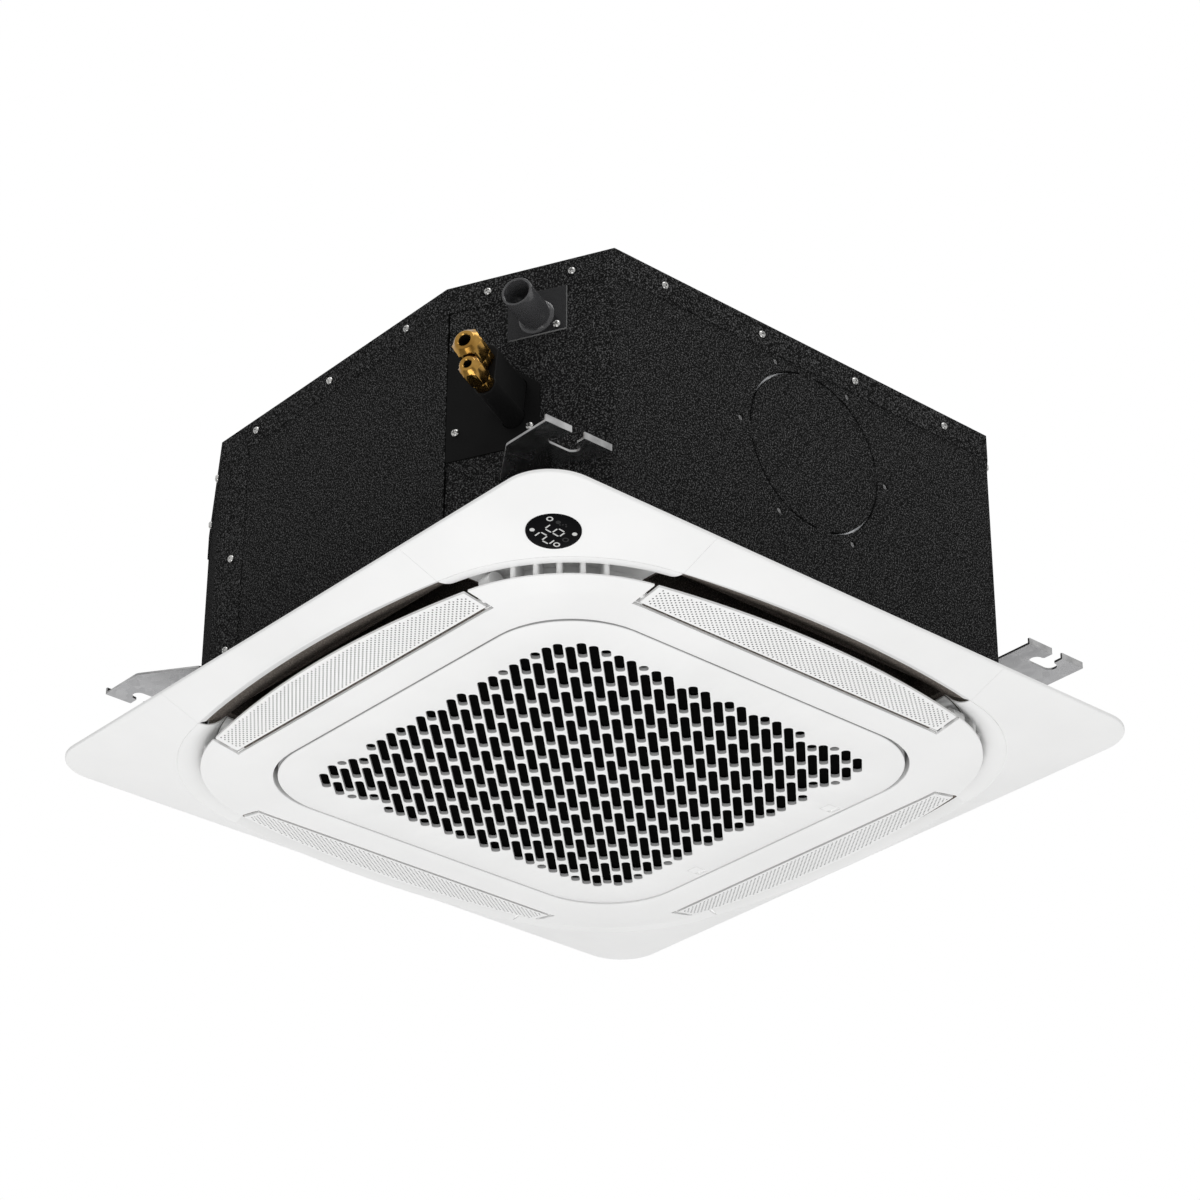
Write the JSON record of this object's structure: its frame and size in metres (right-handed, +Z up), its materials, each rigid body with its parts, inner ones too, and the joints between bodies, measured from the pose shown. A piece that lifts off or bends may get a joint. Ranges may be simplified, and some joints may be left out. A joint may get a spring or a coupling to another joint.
{
  "type": "ceiling cassette air conditioner",
  "caption": "Square ceiling cassette air conditioner with a slotted return grille, a curved ring outlet with perforated flaps and a foam-clad body on hangers.",
  "frame": {"origin": "centre of the panel, on the plane of the ceiling's underside", "axes": "+Z up into the ceiling; the corner with the pipes and the display is at -X -Y"},
  "size_m": [0.6623, 0.647, 0.275],
  "materials": {
    "white_plastic": "satin moulded white",
    "display_glass": "glossy black window",
    "black_foam": "black closed-cell foam with a grainy skin",
    "black_sheet": "black painted sheet",
    "white_foam": "white bead foam",
    "galvanised_steel": "galvanised sheet",
    "zinc_screws": "zinc-plated steel",
    "grey_plastic": "dark moulded plastic",
    "clear_plastic": "clear moulded plastic",
    "soft_rubber": "soft black rubber",
    "motor_paint": "painted motor case",
    "board_green": "printed board",
    "aluminium_fins": "bare fins",
    "copper": "copper tube",
    "brass": "machined brass",
    "float_plastic": "white float"
  },
  "bodies": {
    "unit": {"bell_mouth": "grey_plastic", "casing_screws": "zinc_screws", "casing_wall": "galvanised_steel", "coil_fins": "aluminium_fins", "coil_plates": "galvanised_steel", "coil_return_bends": "copper", "control_board": "board_green", "control_box": "galvanised_steel", "control_box_lid": "galvanised_steel", "corner_cover_far": "white_plastic", "corner_cover_left": "white_plastic", "corner_cover_near": "white_plastic", "corner_cover_right": "white_plastic", "display_board": "board_green", "display_lens": "display_glass", "drain_hose": "soft_rubber", "drain_outlet": "clear_plastic", "drain_pan": "white_foam", "drain_pump": "grey_plastic", "fan_motor": "motor_paint", "float_bracket": "galvanised_steel", "gas_flare_nut": "brass", "gas_header": "copper", "gas_pipe": "copper", "gas_union": "brass", "hanger_far": "galvanised_steel", "hanger_left": "galvanised_steel", "hanger_near": "galvanised_steel", "hanger_right": "galvanised_steel", "inner_liner": "white_foam", "liquid_flare_nut": "brass", "liquid_header": "copper", "liquid_pipe": "copper", "liquid_union": "brass", "louvre_motors": "grey_plastic", "motor_bushes": "soft_rubber", "motor_studs": "zinc_screws", "outer_insulation": "black_foam", "panel_fixings": "zinc_screws", "panel_frame": "white_plastic", "panel_seal": "black_foam", "pipe_cover_plate": "black_sheet", "pipe_sleeve": "soft_rubber", "seam_strip": "black_foam", "terminal_block": "grey_plastic", "top_cover": "black_sheet"},
    "grille": {"return_grille": "white_plastic", "hinge_pins": "zinc_screws", "air_filter": "grey_plastic"},
    "latch_left": {"grille_latch_left": "white_plastic"},
    "latch_right": {"grille_latch_right": "white_plastic"},
    "rotor": {"fan_wheel": "grey_plastic", "motor_shaft": "zinc_screws", "fan_nut": "zinc_screws"},
    "float": {"float": "float_plastic"},
    "louvre_east": {"louvre_east": "white_plastic"},
    "louvre_north": {"louvre_north": "white_plastic"},
    "louvre_south": {"louvre_south": "white_plastic"},
    "louvre_west": {"louvre_west": "white_plastic"}
  },
  "joints": [
    {"name": "louvre_east_tilt", "type": "hinge", "parent": "unit", "child": "louvre_east", "pos_m": [0.2455, 0, -0.0205], "axis": [0, 1, 0], "range_deg": [0, 50]},
    {"name": "louvre_north_tilt", "type": "hinge", "parent": "unit", "child": "louvre_north", "pos_m": [0, 0.2455, -0.0205], "axis": [-1, 0, 0], "range_deg": [0, 50]},
    {"name": "louvre_west_tilt", "type": "hinge", "parent": "unit", "child": "louvre_west", "pos_m": [-0.2455, 0, -0.0205], "axis": [0, -1, 0], "range_deg": [0, 50]},
    {"name": "louvre_south_tilt", "type": "hinge", "parent": "unit", "child": "louvre_south", "pos_m": [0, -0.2455, -0.0205], "axis": [1, 0, 0], "range_deg": [0, 50]},
    {"name": "grille_swing", "type": "hinge", "parent": "unit", "child": "grille", "pos_m": [-0.19, 0, -0.022], "axis": [0, 1, 0], "range_deg": [0, 60]},
    {"name": "latch_left_slide", "type": "slide", "parent": "grille", "child": "latch_left", "axis": [1, 0, 0], "range_m": [0, 0.0055]},
    {"name": "latch_right_slide", "type": "slide", "parent": "grille", "child": "latch_right", "axis": [1, 0, 0], "range_m": [0, 0.0055]},
    {"name": "fan_spin", "type": "hinge", "parent": "unit", "child": "rotor", "pos_m": [0, 0, 0.16], "axis": [0, 0, 1], "continuous": true},
    {"name": "float_rise", "type": "slide", "parent": "unit", "child": "float", "axis": [0, 0, 1], "range_m": [0, 0.012]}
  ]
}
